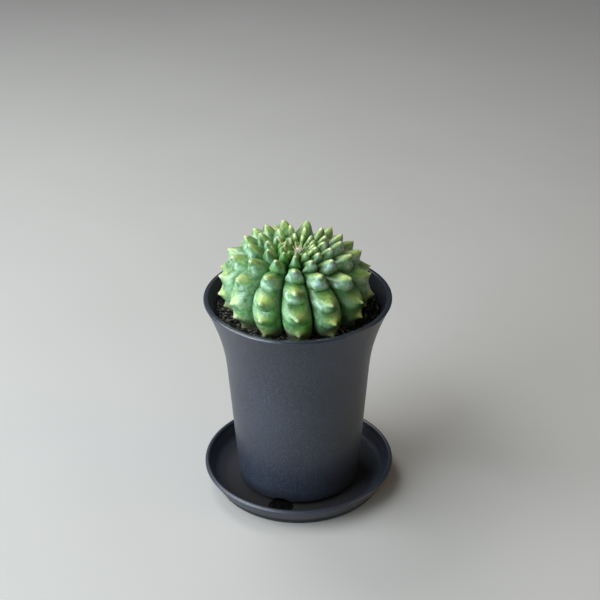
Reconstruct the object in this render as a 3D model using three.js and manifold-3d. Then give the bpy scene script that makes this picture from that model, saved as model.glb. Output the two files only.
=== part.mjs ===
// A potted round cactus: one grown, ribbed cactus body in dark granular soil, in a slim
// tapered pot with a flared lip, standing on its saucer.
// Millimetres, +Z up, origin at the middle of the saucer's underside. The front is -Y.
import * as THREE from 'three';
import { mergeVertices } from 'three/addons/utils/BufferGeometryUtils.js';
import Module from 'manifold-3d';

const wasm = await Module();
wasm.setup();

// ---- driving dimensions ---------------------------------------------------------------
const ROUND = 48; // segments round the pot and the saucer
const FIT_GAP = 0.35; // clearance between pieces that touch

const SAUCER_RIM_R = 47.2;
const SAUCER_BASE_R = 41.7;
const SAUCER_HEIGHT = 11.3;
const SAUCER_FLOOR_R = 37.2; // flat floor inside
const SAUCER_FLOOR_Z = 2.0; // top of the floor, which the pot stands on
const SAUCER_WALL = 2.3;
const SAUCER_RECESS_R = 33.0; // shallow recess under the saucer
const SAUCER_RECESS = 0.5;

const POT_TOP_Z = 103.4;
const POT_RIM_R = 45.0; // a 90 mm rim
const POT_FOOT_R = 30.05; // wall radius at the lower bend
const POT_FOOT_Z = 5.0;
const POT_TAPER = 0.0735; // radius gained per mm of height
const FLARE_START_Z = 66.0; // above this the wall curves outward
const FLARE_CURVE = 182.0; // twice the radius of that curve
const POT_WALL = 2.7;
const POT_FLOOR_Z = 7.5; // inside floor
const FOOT_RING_R = 27.6;
const FOOT_RING_INNER_R = 24.6;
const NOTCH_COUNT = 3;
const NOTCH_WIDTH = 10.0;
const NOTCH_HEIGHT = 3.6;
const NOTCH_AZIMUTH = -17; // degrees from the front, first notch
const DRAIN_R = 6.0;

const SOIL_Z = 96.2; // mean level of the soil
const SOIL_GRAIN = 0.7; // height of its grains
const SOIL_COLUMNS = 44;

const BODY_CENTRE = [-1.15, -0.46, 106.36]; // middle of the cactus body
const LEAN_RIGHT = 4.04; // degrees
const LEAN_FRONT = 4.74;
const RIB_TWIST = 0.154; // azimuth gained per radian of latitude
const TWIST_CENTRE = 1.2;
const FURROW_DEPTH = 7.2; // at the body's widest
// How much narrower a young tubercle is from its upper crease (-1) past its areole (0) to its chin.
const PINCH_PLACES = [-1, -0.5, 0, 0.3, 0.6, 1];
const PINCHES = [0.15, 0.55, 0.9, 0.4, 0.15, 0.05];
// Young tubercles swell into the gaps of the ribs beside them, most a little below their areoles.
const SWELL = 0.24;
const SWELL_PLACE = 0.28;
const CROWN_HOLLOW = 3.4; // depth of the dimple in the crown
const BURIED_LATITUDE = 112; // degrees from the crown, where the ribs fade out underground
const ROOT_R = 20.5;

// Radius over the tubercle tips, by latitude in degrees down from the crown.
const TIP_LATITUDES = [0, 12, 25, 45, 60, 75, 90, 105, 125, 180];
const TIP_RADII = [22.4, 25.2, 28.8, 34.3, 36.4, 37.9, 36.9, 33.6, 28.2, 20.5];
// Depth of the creases between the tubercles of a rib.
const CREASE_LATITUDES = [10, 20, 35, 50, 60, 75, 90, 110];
const CREASE_DEPTHS = [2.0, 3.2, 3.9, 3.3, 2.6, 1.5, 0.8, 0.4];
// The ribs from the front round to the right: azimuth, then the latitudes of their areoles.
const RIBS = [
  [-0.7, [13, 25, 42, 60, 79, 93, 105, 118]],
  [27.0, [20, 32, 47.5, 70, 85, 99, 112, 124]],
  [54.7, [17, 25, 38, 57, 77, 91, 104, 117]],
  [82.4, [17, 30, 46, 67.5, 87, 100, 113, 125]],
  [105.4, [14, 24, 38, 58, 76, 91, 105, 118]],
  [126.0, [16, 28.5, 44.6, 62, 79, 94, 107, 120]],
  [148.5, [19, 35, 52, 70, 86, 99, 112, 125]],
  [173.8, [17, 28, 45, 60, 77, 91, 104, 117]],
  [200.1, [18, 31, 47, 64, 81, 95, 108, 121]],
  [226.4, [14, 29, 43, 57, 75, 90, 103, 116]],
  [252.7, [22, 37, 50, 67.7, 83, 97, 110, 122]],
  [278.0, [16, 28.6, 43, 59, 76, 90, 101, 113]],
  [303.9, [17, 31.5, 48, 65, 83, 95, 108, 120]],
  [331.6, [24.3, 36.7, 53, 72, 85, 99, 111, 123]],
];

const RING_STEPS = 5; // rings of faces for each tubercle
const COLUMN_PLACES = [-1, -0.76, -0.46, -0.19, 0, 0.19, 0.46, 0.76]; // across one rib

const SPINES = 9;
const SPINE_WIDTH = 0.6;
const WOOL_R = 1.5;
const WOOL_HEIGHT = 1.3;

// ---- small helpers --------------------------------------------------------------------
const rad = (degrees) => (degrees * Math.PI) / 180;
const clamp = (x, low, high) => Math.min(high, Math.max(low, x));

function between(x, xs, ys) {
  let i = 1;
  while (i < xs.length - 1 && x > xs[i]) i += 1;
  const share = clamp((x - xs[i - 1]) / (xs[i] - xs[i - 1]), 0, 1);
  return ys[i - 1] + share * (ys[i] - ys[i - 1]);
}

function smoothStep(value) {
  const x = clamp(value, 0, 1);
  return x * x * (3 - 2 * x);
}

function seeded(seed) {
  let state = seed >>> 0;
  return () => {
    state = (Math.imul(state, 1664525) + 1013904223) >>> 0;
    return state / 4294967296;
  };
}

function closedGeometry(points, faces) {
  const geometry = new THREE.BufferGeometry();
  geometry.setAttribute('position', new THREE.Float32BufferAttribute(points.flat(), 3));
  geometry.setIndex(faces.flat());
  return geometry;
}

// A solid of turned profile; points are [radius, z], anticlockwise seen from the front.
function turned(profile, segments = ROUND) {
  const outline = profile.map(([r, z]) => new THREE.Vector2(r, z));
  const geometry = new THREE.LatheGeometry(outline, segments);
  geometry.rotateX(Math.PI / 2); // the lathe turns about Y
  return geometry;
}

function toSolid(geometry) {
  const bare = geometry.clone();
  bare.deleteAttribute('normal');
  bare.deleteAttribute('uv');
  const merged = mergeVertices(bare, 1e-4);
  const kept = [];
  const index = merged.index.array;
  for (let i = 0; i < index.length; i += 3) {
    const [a, b, c] = [index[i], index[i + 1], index[i + 2]];
    if (a !== b && b !== c && a !== c) kept.push(a, b, c);
  }
  return new wasm.Manifold(
    new wasm.Mesh({
      numProp: 3,
      vertProperties: new Float32Array(merged.attributes.position.array),
      triVerts: new Uint32Array(kept),
    }),
  );
}

function toGeometry(solid) {
  const mesh = solid.getMesh();
  const geometry = new THREE.BufferGeometry();
  geometry.setAttribute('position', new THREE.Float32BufferAttribute(mesh.vertProperties, 3));
  geometry.setIndex(Array.from(mesh.triVerts));
  return geometry;
}

function piece(name, geometry, color, roughness) {
  const material = new THREE.MeshStandardMaterial({ color, roughness, metalness: 0 });
  const mesh = new THREE.Mesh(geometry, material);
  mesh.name = name;
  return mesh;
}

function arc(cx, cz, radius, from, to, steps) {
  const points = [];
  for (let i = 0; i <= steps; i += 1) {
    const angle = rad(from + ((to - from) * i) / steps);
    points.push([cx + radius * Math.cos(angle), cz + radius * Math.sin(angle)]);
  }
  return points;
}

// ---- saucer ---------------------------------------------------------------------------
function saucerGeometry() {
  const rimRound = SAUCER_WALL / 2;
  const rimCentre = [SAUCER_RIM_R - rimRound, SAUCER_HEIGHT - rimRound];
  const rimInner = SAUCER_RIM_R - SAUCER_WALL;
  const profile = [
    [0, SAUCER_RECESS],
    [SAUCER_RECESS_R, SAUCER_RECESS],
    [SAUCER_RECESS_R + 0.8, 0],
    [SAUCER_BASE_R - 0.9, 0],
    [SAUCER_BASE_R, 0.7],
    ...arc(...rimCentre, rimRound, 0, 180, 6),
    [rimInner - 3.2, SAUCER_FLOOR_Z + 2.6],
    [SAUCER_FLOOR_R + 2.2, SAUCER_FLOOR_Z + 0.7],
    [SAUCER_FLOOR_R, SAUCER_FLOOR_Z],
    [0, SAUCER_FLOOR_Z],
  ];
  return turned(profile);
}

// ---- pot ------------------------------------------------------------------------------
function potOuterR(z) {
  const flare = Math.max(z - FLARE_START_Z, 0) ** 2 / FLARE_CURVE;
  return POT_FOOT_R + POT_TAPER * (z - POT_FOOT_Z) + flare;
}

const potInnerR = (z) => potOuterR(z) - POT_WALL;

function potProfile() {
  const lipZ = POT_TOP_Z - 0.6;
  const outside = [FLARE_START_Z, 76, 84, 91, 97.5, lipZ].map((z) => [potOuterR(z), z]);
  const inside = [95, 87, 78, 64, 30].map((z) => [potInnerR(z), z]);
  return [
    [0, POT_FLOOR_Z - 2.6],
    [FOOT_RING_INNER_R, POT_FLOOR_Z - 2.6],
    [FOOT_RING_INNER_R, SAUCER_FLOOR_Z],
    [FOOT_RING_R, SAUCER_FLOOR_Z],
    [FOOT_RING_R + 1.0, POT_FOOT_Z - 2.2],
    [POT_FOOT_R - 0.5, POT_FOOT_Z - 1.3],
    [POT_FOOT_R, POT_FOOT_Z],
    ...outside,
    [POT_RIM_R - 0.6, POT_TOP_Z],
    [POT_RIM_R - POT_WALL, POT_TOP_Z],
    ...inside,
    [potInnerR(POT_FLOOR_Z), POT_FLOOR_Z + 1.5],
    [potInnerR(POT_FLOOR_Z) - 2, POT_FLOOR_Z],
    [0, POT_FLOOR_Z],
  ];
}

function notchCutter(azimuth) {
  const arch = new THREE.Shape();
  const half = NOTCH_WIDTH / 2;
  arch.moveTo(-half, -1);
  arch.lineTo(half, -1);
  arch.absellipse(0, 0.4, half, NOTCH_HEIGHT - 0.4, 0, Math.PI, false, 0);
  arch.closePath();
  const length = 12;
  const cutter = new THREE.ExtrudeGeometry(arch, {
    depth: length,
    bevelEnabled: false,
    curveSegments: 8,
  });
  cutter.rotateX(Math.PI / 2); // the arch stands up, the cutter runs towards -Y
  cutter.translate(0, -(FOOT_RING_INNER_R - 3), SAUCER_FLOOR_Z);
  cutter.rotateZ(rad(azimuth));
  return toSolid(cutter);
}

function potGeometry() {
  let pot = toSolid(turned(potProfile()));
  for (let i = 0; i < NOTCH_COUNT; i += 1) {
    pot = pot.subtract(notchCutter(NOTCH_AZIMUTH + (360 / NOTCH_COUNT) * i));
  }
  const drain = new THREE.CylinderGeometry(DRAIN_R, DRAIN_R, 12, 20);
  drain.rotateX(Math.PI / 2);
  drain.translate(0, 0, POT_FLOOR_Z - 2);
  return toGeometry(pot.subtract(toSolid(drain)));
}

// ---- cactus ---------------------------------------------------------------------------
// Latitude is counted in degrees down from the crown, azimuth in radians from the front,
// growing to the right. A count of 3.5 is halfway between two areoles of a rib.
const AREOLE_ROWS = RIBS.map(([, row]) => [2, 0.52 * row[0], ...row, 134, 147, 160, 175]);
const COUNTS = AREOLE_ROWS[0].map((_, i) => i);
const ROOT_COUNT = COUNTS[11];

const latitudeAt = (count, rib) => between(count, COUNTS, AREOLE_ROWS[rib]);
const countAt = (latitude, rib) => between(latitude, AREOLE_ROWS[rib], COUNTS);
const ribBeside = (rib, side) => (rib + (side < 0 ? RIBS.length - 1 : 1)) % RIBS.length;

function fullness(latitude, rib) {
  const swell = SWELL * smoothStep((52 - latitude) / 26) * smoothStep((latitude - 6) / 8);
  return 1 + swell * Math.cos(2 * Math.PI * (countAt(latitude, rib) - SWELL_PLACE));
}

// The turn from a rib's crest to the furrow beside it: the fuller rib takes more of the room.
function halfTurn(latitude, rib, side) {
  const beside = ribBeside(rib, side);
  const turn = (RIBS[beside][0] - RIBS[rib][0]) * (side < 0 ? -1 : 1);
  const full = fullness(latitude, rib);
  return (rad((turn + 360) % 360) * full) / (full + fullness(latitude, beside));
}

// The radius over the tips as one smooth curve.
function tipRadius(latitude) {
  let sum = 0;
  let total = 0;
  for (let k = -4; k <= 4; k += 1) {
    const weight = 1 - 0.8 * (k / 4) ** 2;
    sum += weight * between(Math.abs(latitude + 2 * k), TIP_LATITUDES, TIP_RADII);
    total += weight;
  }
  return sum / total;
}

// Radius over the body's centre, side running from -1 to 1 across the rib. Each tubercle has
// a sloping shelf above its areole, a full chin below it and a crease that curves up at the
// sides; the young tubercles round the crown are narrow and end in a rounded cone.
function bodyRadius(latitude, rib, side) {
  const tip = tipRadius(latitude);
  const girth = tip * Math.sin(rad(clamp(latitude, 4, 176)));
  const half = ((halfTurn(latitude, rib, -1) + halfTurn(latitude, rib, 1)) / 2) * girth;
  const above = clamp((BURIED_LATITUDE + 8 - latitude) / 14, 0, 1);
  const young = smoothStep((80 - latitude) / 34);
  const raised = countAt(latitude, rib) + (0.68 - 0.46 * young) * side * side;
  const split = 0.56 - 0.14 * young;
  const areole = Math.floor(raised + split);
  const place = latitudeAt(areole, rib);
  const along = rad(latitude - place) * tip;
  const upper = rad(place - latitudeAt(areole - split, rib)) * tip;
  const lower = rad(latitudeAt(areole + 1 - split, rib) - place) * tip;
  const depth = clamp(Math.abs(along) / Math.max(along < 0 ? upper : lower, 0.1), 0, 1);
  const growing = clamp(half / 3.5, 0.12, 1) * above;
  const opening = 0.2 + 0.8 * smoothStep((latitude - 6) / 10);
  const height = FURROW_DEPTH * (1 - Math.exp(-half / 2.6)) * above * opening;
  const crease = between(latitude, CREASE_LATITUDES, CREASE_DEPTHS) * clamp(half / 2.5, 0, 1);
  const drop = clamp(crease / Math.max(height, 0.3), 0, 0.85);
  const chin = (1 - depth ** 3.2) ** 0.6;
  const shelf = 1 - depth ** (1.35 + 0.25 * young);
  const acrossCrease = 1 - (1 - young) * smoothStep(Math.abs(side) * 1.25);
  const fallen = drop * (1 - (along > 0 ? chin : shelf)) * acrossCrease;
  const budding = smoothStep((52 - latitude) / 26);
  const pinch = 1 + budding * between(Math.sign(along) * depth, PINCH_PLACES, PINCHES);
  const narrowed = clamp(Math.abs(side) * pinch, 0, 1);
  const ridge = (1 - narrowed ** (2.3 + 0.5 * young)) ** (0.6 + 0.2 * budding);
  const distance = Math.hypot(side * halfTurn(latitude, rib, side) * girth, along);
  const pointHeight = 2.0 * (1 - 0.72 * young) * growing;
  const coneHeight = (3.0 * young + 0.6 * Math.exp(-(((latitude - 56) / 14) ** 2))) * growing;
  const point = pointHeight * Math.exp(-((distance / 1.75) ** 1.5));
  const cone = coneHeight * Math.exp(-((distance / 3.1) ** 2.1));
  const crown = CROWN_HOLLOW * Math.exp(-((latitude / 12.5) ** 4));
  const furrow = height * (1 - ridge * (1 - fallen));
  return tip - pointHeight - coneHeight - furrow + point + cone - crown;
}

function bodyPoint(latitude, azimuth, radius) {
  const turn = azimuth + RIB_TWIST * (rad(latitude) - TWIST_CENTRE);
  const out = radius * Math.sin(rad(latitude));
  return [out * Math.sin(turn), -out * Math.cos(turn), radius * Math.cos(rad(latitude))];
}

// The rings run through the areoles of every rib and meet halfway in the furrows.
function ringLatitude(count, rib, side) {
  const own = latitudeAt(count, rib);
  const beside = latitudeAt(count, ribBeside(rib, side));
  return own + (beside - own) * 0.5 * side * side;
}

function ringCounts() {
  const counts = [];
  for (let step = 3; step <= ROOT_COUNT * RING_STEPS; step += 1) {
    const count = step / RING_STEPS;
    const fine = count >= 2 && count <= 9;
    if (fine || (step % 2 === 1 && count < 2) || (count > 9 && step % 5 === 0)) counts.push(count);
  }
  return counts;
}

function cactusGeometry(swell = 0) {
  const columns = RIBS.length * COLUMN_PLACES.length;
  const counts = ringCounts();
  const points = [[0, 0, bodyRadius(2, 0, 0) + swell]];
  const faces = [];
  for (const count of counts) {
    for (let column = 0; column < columns; column += 1) {
      const rib = Math.floor(column / COLUMN_PLACES.length);
      const side = COLUMN_PLACES[column % COLUMN_PLACES.length];
      const latitude = ringLatitude(count, rib, side);
      const azimuth = rad(RIBS[rib][0]) + side * halfTurn(latitude, rib, side);
      points.push(bodyPoint(latitude, azimuth, bodyRadius(latitude, rib, side) + swell));
    }
  }
  const root = points.length;
  points.push([0, 0, -ROOT_R - swell]);
  const at = (row, column) => 1 + row * columns + (column % columns);
  for (let column = 0; column < columns; column += 1) {
    faces.push([0, at(0, column), at(0, column + 1)]);
    faces.push([root, at(counts.length - 1, column + 1), at(counts.length - 1, column)]);
    for (let row = 0; row < counts.length - 1; row += 1) {
      const [a, b] = [at(row, column), at(row, column + 1)];
      const [c, d] = [at(row + 1, column), at(row + 1, column + 1)];
      faces.push([a, c, d], [a, d, b]);
    }
  }
  return lean(closedGeometry(points, faces));
}

function lean(geometry) {
  geometry.rotateX(rad(LEAN_FRONT));
  geometry.rotateY(rad(LEAN_RIGHT));
  geometry.translate(...BODY_CENTRE);
  return geometry;
}

// ---- soil -----------------------------------------------------------------------------
function soilGeometry() {
  const draw = seeded(71);
  const wall = potInnerR(SOIL_Z) - FIT_GAP;
  const radii = [17, 24, 28, 31.5, 34.5, 37, wall];
  const points = [[0, 0, SOIL_Z]];
  const faces = [];
  const ring = (r, height) => {
    for (let i = 0; i < SOIL_COLUMNS; i += 1) {
      const angle = (2 * Math.PI * (i + 0.5 * (radii.indexOf(r) % 2))) / SOIL_COLUMNS;
      points.push([r * Math.sin(angle), -r * Math.cos(angle), height()]);
    }
  };
  for (const r of radii) ring(r, () => SOIL_Z + (draw() - 0.5) * 2 * SOIL_GRAIN * (r < wall));
  const below = [87, 78, 64, 30, POT_FLOOR_Z + 2.2];
  for (const z of below) ring(potInnerR(z) - FIT_GAP - 0.15, () => z);
  const foot = potInnerR(POT_FLOOR_Z) - 2.6;
  ring(foot, () => POT_FLOOR_Z + FIT_GAP);
  const last = points.length;
  points.push([0, 0, POT_FLOOR_Z + FIT_GAP]);
  const rows = radii.length + below.length + 1;
  const at = (row, i) => 1 + row * SOIL_COLUMNS + (i % SOIL_COLUMNS);
  for (let i = 0; i < SOIL_COLUMNS; i += 1) {
    faces.push([0, at(0, i), at(0, i + 1)]);
    faces.push([last, at(rows - 1, i + 1), at(rows - 1, i)]);
    for (let row = 0; row < rows - 1; row += 1) {
      faces.push([at(row, i), at(row + 1, i), at(row + 1, i + 1)]);
      faces.push([at(row, i), at(row + 1, i + 1), at(row, i + 1)]);
    }
  }
  const block = toSolid(closedGeometry(points, faces));
  return toGeometry(block.subtract(toSolid(cactusGeometry(FIT_GAP))));
}

// ---- crown tuft -----------------------------------------------------------------------
function woolGeometry() {
  const wool = new THREE.IcosahedronGeometry(1, 1);
  wool.scale(WOOL_R, WOOL_R, WOOL_HEIGHT);
  return wool;
}

function spineGeometry(turn, slope, length) {
  const spine = new THREE.CylinderGeometry(SPINE_WIDTH * 0.22, SPINE_WIDTH / 2, length, 5);
  spine.rotateX(Math.PI / 2);
  spine.translate(0, 0, length / 2);
  spine.rotateX(slope);
  spine.rotateZ(turn);
  return spine;
}

function crownTuftGeometry() {
  const draw = seeded(29);
  let tuft = toSolid(woolGeometry());
  for (let i = 0; i < SPINES; i += 1) {
    const turn = (2 * Math.PI * (i + 0.6 * draw())) / SPINES;
    const slope = rad(14 + 30 * draw());
    tuft = tuft.add(toSolid(spineGeometry(turn, slope, 5.2 + 2.0 * draw())));
  }
  const geometry = toGeometry(tuft);
  const seat = bodyRadius(2, 0, 0);
  geometry.translate(0, 0, seat + FIT_GAP + WOOL_HEIGHT);
  return lean(geometry);
}

// ---- assembly -------------------------------------------------------------------------
const plant = new THREE.Group();
plant.add(piece('saucer', saucerGeometry(), 0x2c2f33, 0.55));
plant.add(piece('pot', potGeometry(), 0x2c2f33, 0.55));
plant.add(piece('soil', soilGeometry(), 0x14110f, 0.95));
plant.add(piece('cactus', cactusGeometry(), 0x4c8a3c, 0.5));
plant.add(piece('crown_tuft', crownTuftGeometry(), 0xd8c7a4, 0.9));

export default plant;
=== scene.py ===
"""A potted round cactus: the plant, its soil, its pot and its saucer, dressed around the CAD frame."""
import math

import bmesh
import bpy
import numpy as np
from mathutils import Matrix, Vector, noise
from mathutils.bvhtree import BVHTree


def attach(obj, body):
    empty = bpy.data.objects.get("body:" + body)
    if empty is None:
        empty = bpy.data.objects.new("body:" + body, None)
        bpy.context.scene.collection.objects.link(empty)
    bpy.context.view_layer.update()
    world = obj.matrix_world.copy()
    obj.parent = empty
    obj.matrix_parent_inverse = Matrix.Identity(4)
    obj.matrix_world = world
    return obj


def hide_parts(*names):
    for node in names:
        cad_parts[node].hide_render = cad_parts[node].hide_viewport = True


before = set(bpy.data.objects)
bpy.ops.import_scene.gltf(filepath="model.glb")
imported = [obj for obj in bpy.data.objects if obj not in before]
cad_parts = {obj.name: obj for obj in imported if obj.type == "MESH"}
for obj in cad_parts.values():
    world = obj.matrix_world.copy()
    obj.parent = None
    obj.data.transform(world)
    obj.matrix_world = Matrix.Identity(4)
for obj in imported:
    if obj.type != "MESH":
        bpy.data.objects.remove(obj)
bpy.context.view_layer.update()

# Sizes are in millimetres, as in the CAD, and every mesh is scaled to metres when it is made. Angles are in
# degrees: a latitude is counted down from the crown, and an azimuth from the front round to the right.
MM = 0.001
SEED = 17
SHARP_ANGLE = 38

# The saucer.
SAUCER_RIM_R = 47.2
SAUCER_BASE_R = 41.7
SAUCER_BASE_ROUND = 1.1
SAUCER_HEIGHT = 11.3
SAUCER_FLOOR_R = 37.2
SAUCER_FLOOR_Z = 2.0
SAUCER_WALL = 2.3
SAUCER_RECESS_R = 33.0
SAUCER_RECESS = 0.5

# The pot.
POT_TOP_Z = 103.4
POT_RIM_R = 45.0
POT_LIP_ROUND = 0.8
POT_INNER_LIP_ROUND = 0.5
POT_FOOT_R = 30.05
POT_FOOT_Z = 5.0
POT_HEEL_ROUND = 2.2
POT_TAPER = 0.0735
FLARE_START_Z = 66.0
FLARE_CURVE = 182.0
POT_WALL = 2.7
POT_FLOOR_Z = 7.5
POT_FLOOR_THICKNESS = 2.6
FOOT_RING_R = 27.6
FOOT_RING_INNER_R = 24.6
FOOT_RING_ROUND = 0.5
NOTCH_COUNT = 3
NOTCH_WIDTH = 10.0
NOTCH_HEIGHT = 3.6
NOTCH_SPRING = 0.4  # height at which the notch's arch starts
NOTCH_AZIMUTH = -17.0
DRAIN_R = 6.0

# The soil: its bed, and the loose grains on it by their half sizes.
SOIL_Z = 96.2
BED_RELIEF = 0.45
CHIPS = 2300
CHIPS_INNER_R = 19.0
CHIP_LENGTHS = (0.9, 1.75)
CHIP_WIDTHS = (0.45, 0.8)
CHIP_THICKNESSES = (0.3, 0.5)
PILE_WIDTH = 2.2  # the ring along the pot's wall where the grains pile up
PILE_HEIGHT = 0.9

# Black fines on the saucer in and before the foremost notch, and how far round them the floor carries a
# painted shadow.
FINES_PLACE = (-8.9, -29.7, 2.0)
FINES_R = 6.0
FINES = 520
FINES_SIZES = (0.25, 0.5)
FINES_HEIGHT = 0.5
SHADOW_START = 46.0
SHADOW_FULL = 16.0

# The cactus body.
BODY_CENTRE = (-1.15, -0.46, 106.36)
LEAN_RIGHT = 4.04
LEAN_FRONT = 4.74
RIB_TWIST = 0.154
TWIST_CENTRE = 1.2
FURROW_DEPTH = 7.2
CREASE_LATITUDES = (10, 20, 35, 50, 60, 75, 90, 110)
CREASE_DEPTHS = (2.0, 3.2, 3.9, 3.3, 2.6, 1.5, 0.8, 0.4)
# The latitudes where young tubercles and, nearer to the crown, buds end and where they are fully so.
YOUNG_FADE = (80, 46)
BUD_FADE = (52, 26)
# How much narrower a bud is from its upper crease (-1) past its areole (0) to its lower crease (1).
PINCH_PLACES = (-1, -0.35, 0, 0.3, 0.6, 1)
PINCHES = (0.0, 0.15, 0.6, 0.2, 0.05, 0.0)
# Buds swell into the gaps of the ribs beside them, most a little below their areoles.
SWELL = 0.29
SWELL_PLACE = 0.28
# The point under an areole, and the broader cone that it stands on.
POINT_HEIGHT = 2.0
POINT_SPREAD = 1.75
CONE_HEIGHT = 2.0
CONE_SPREAD = 3.2
CROWN_HOLLOW = 3.4
CROWN_HOLLOW_LATITUDE = 12.5
TOP_LATITUDE = 2.0
BURIED_LATITUDE = 112.0
ROOT_LATITUDE = 146.0
COLUMNS_PER_RIB = 26
TIP_LATITUDES = (0, 12, 25, 45, 60, 75, 90, 105, 125, 180)
TIP_RADII = (22.4, 25.2, 28.8, 34.3, 36.4, 37.9, 36.9, 33.6, 28.2, 20.5)
TIP_BLUR = 8.0  # degrees over which those radii are smoothed

# The ribs: azimuth, then the latitudes of their areoles.
RIBS = (
    (-0.7, (13, 25, 42, 60, 79, 93, 105, 118)),
    (27.0, (20, 32, 47.5, 70, 85, 99, 112, 124)),
    (54.7, (17, 25, 38, 57, 77, 91, 104, 117)),
    (82.4, (17, 30, 46, 67.5, 87, 100, 113, 125)),
    (105.4, (14, 24, 38, 58, 76, 91, 105, 118)),
    (126.0, (16, 28.5, 44.6, 62, 79, 94, 107, 120)),
    (148.5, (19, 35, 52, 70, 86, 99, 112, 125)),
    (173.8, (17, 28, 45, 60, 77, 91, 104, 117)),
    (200.1, (18, 31, 47, 64, 81, 95, 108, 121)),
    (226.4, (14, 29, 43, 57, 75, 90, 103, 116)),
    (252.7, (22, 37, 50, 67.7, 83, 97, 110, 122)),
    (278.0, (16, 28.6, 43, 59, 76, 90, 101, 113)),
    (303.9, (17, 31.5, 48, 65, 83, 95, 108, 120)),
    (331.6, (24.3, 36.7, 53, 72, 85, 99, 111, 123)),
)
RIB_AZIMUTHS = np.array([azimuth for azimuth, _ in RIBS])
# The areoles' latitudes on each rib, carried on into the crown and down underground.
AREOLE_ROWS = [np.array((TOP_LATITUDE, 0.52 * row[0], *row, 134, 147, 160, 175)) for _, row in RIBS]

# The felt on the areoles, which is smaller near the crown.
FELT_R = 0.5
FELT_HAIRS = 20
SMALL_FELT_R = 0.36
SMALL_FELT_HAIRS = 12
SMALL_FELT_LATITUDE = 24
LAST_FELT_LATITUDE = 110
FELT_HAIR_WIDTH = 0.16
FELT_HAIR_LENGTHS = (0.2, 0.38)

# The wool and the spines of the crown.
WOOL_R = 1.5
WOOL_HAIRS = 760
WOOL_HAIR_WIDTH = 0.09
WOOL_HAIR_LENGTHS = (0.5, 1.2)
WOOL_BALL_R = 1.0
WOOL_BALL_HEIGHT = 2.0
SPINES = 10
SPINE_WIDTH = 0.5
SPINE_LENGTHS = (4.6, 6.6)
SPINE_SLOPES = (16, 46)
SPINE_TOP_Z = 134.0
# Dry spines left on the buds: rib, latitude and slope towards the crown.
DRY_SPINES = ((11, 16, 50), (10, 22, 62), (12, 17, 35), (4, 14, 55), (9, 14, 20), (2, 17, 60))
DRY_SPINE_WIDTH = 0.42
DRY_SPINE_LENGTHS = (2.6, 3.6)

# Colours, as linear red, green and blue.
CHARCOAL = (0.020, 0.024, 0.036)
DUST = (0.120, 0.120, 0.120)
FLOOR_SHADE = (0.016, 0.014, 0.016)
SKIN_DEEP = (0.024, 0.108, 0.009)
SKIN_MID = (0.086, 0.268, 0.038)
SKIN_FRESH = (0.190, 0.400, 0.040)
SKIN_WAX_AND_SHEEN = (0.395, 0.590, 0.385)
SKIN_FROST_AND_SHEEN = (0.470, 0.620, 0.600)
SKIN_LIME = (0.530, 0.640, 0.170)
SKIN_SHADE = (0.012, 0.080, 0.004)
SKIN_TIP = (0.720, 0.780, 0.420)
SKIN_CORK = (0.270, 0.250, 0.170)
SOIL_DARK = (0.004, 0.004, 0.004)
SOIL_GREY = (0.050, 0.045, 0.042)
SOIL_BROWN = (0.190, 0.160, 0.135)
FELT_PALE = (0.620, 0.680, 0.360)
FELT_DEEP = (0.460, 0.480, 0.200)
WOOL_PALE = (0.950, 0.950, 0.900)
WOOL_DEEP = (0.860, 0.830, 0.720)
STRAW_PALE = (0.930, 0.830, 0.560)
STRAW_DEEP = (0.720, 0.540, 0.280)
PAPER_LOW = (0.450, 0.430, 0.400)
PAPER_HIGH = (0.490, 0.470, 0.440)

# The camera: frame, lens and offset in the photograph's pixels, the sensor in millimetres, then its place in
# metres and its turns in degrees.
FRAME_PX = 600
FOCAL_PX = 1329.7
OFFSET_PX = 2.2
SENSOR_WIDTH = 36.0
CAMERA_DISTANCE = 0.62922
CAMERA_AIM_Z = 0.10044
CAMERA_ELEVATION = 29.06
CAMERA_ROLL = 0.37

# The lights: name, place, aim and size in metres, power in watts, colour.
LIGHTS = (
    ("window", (-0.72, -0.24, 0.60), (0, 0, 0.09), (1.0, 1.0), 17.0, (0.88, 0.94, 1.0)),
    ("low_sky", (-0.56, -0.58, 0.15), (0, 0, 0.04), (0.5, 0.2), 4.2, (0.62, 0.84, 1.0)),
    ("skylight", (-0.30, 0.42, 0.80), (0, 0, 0.09), (0.35, 0.35), 3.0, (0.92, 0.97, 1.0)),
    ("fill", (0.7, -0.2, 0.35), (0, 0, 0.09), (0.5, 0.5), 0.9, (1.0, 0.76, 0.46)),
)
WORLD_STRENGTH = 0.09
WORLD_COLOUR = (0.94, 0.97, 1.0)
FLOOR_SIZE = 6000.0


# ---- mesh helpers ----------------------------------------------------------------------
def add_piece(name, mesh):
    """An object in the scene that shows a mesh."""
    piece = bpy.data.objects.new(name, mesh)
    bpy.context.scene.collection.objects.link(piece)
    return piece


def new_mesh(name, points, faces, smooth=True):
    """A piece from points in millimetres and a list of faces as rows of their numbers."""
    mesh = bpy.data.meshes.new(name)
    mesh.from_pydata((np.asarray(points) * MM).tolist(), [], faces)
    mesh.polygons.foreach_set("use_smooth", np.full(len(mesh.polygons), smooth))
    mesh.update()
    return add_piece(name, mesh)


def add_attribute(piece, name, values):
    """A number for each point of a piece, which its material reads by name."""
    layer = piece.data.attributes.new(name, "FLOAT", "POINT")
    layer.data.foreach_set("value", np.asarray(values, dtype=np.float32).ravel())


def closed_faces(rows, columns):
    """Quads of a grid that closes on itself along its columns, and a fan at each end to one more point."""
    row, column = np.meshgrid(np.arange(rows - 1), np.arange(columns), indexing="ij")
    beside = (column + 1) % columns
    a, b = row * columns + column, row * columns + beside
    faces = np.stack([a, a + columns, b + columns, b], axis=-1).reshape(-1, 4).tolist()
    top = rows * columns
    last = top - columns
    for i in range(columns):
        j = (i + 1) % columns
        faces += [[top, i, j], [top + 1, last + j, last + i]]
    return faces


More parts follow.
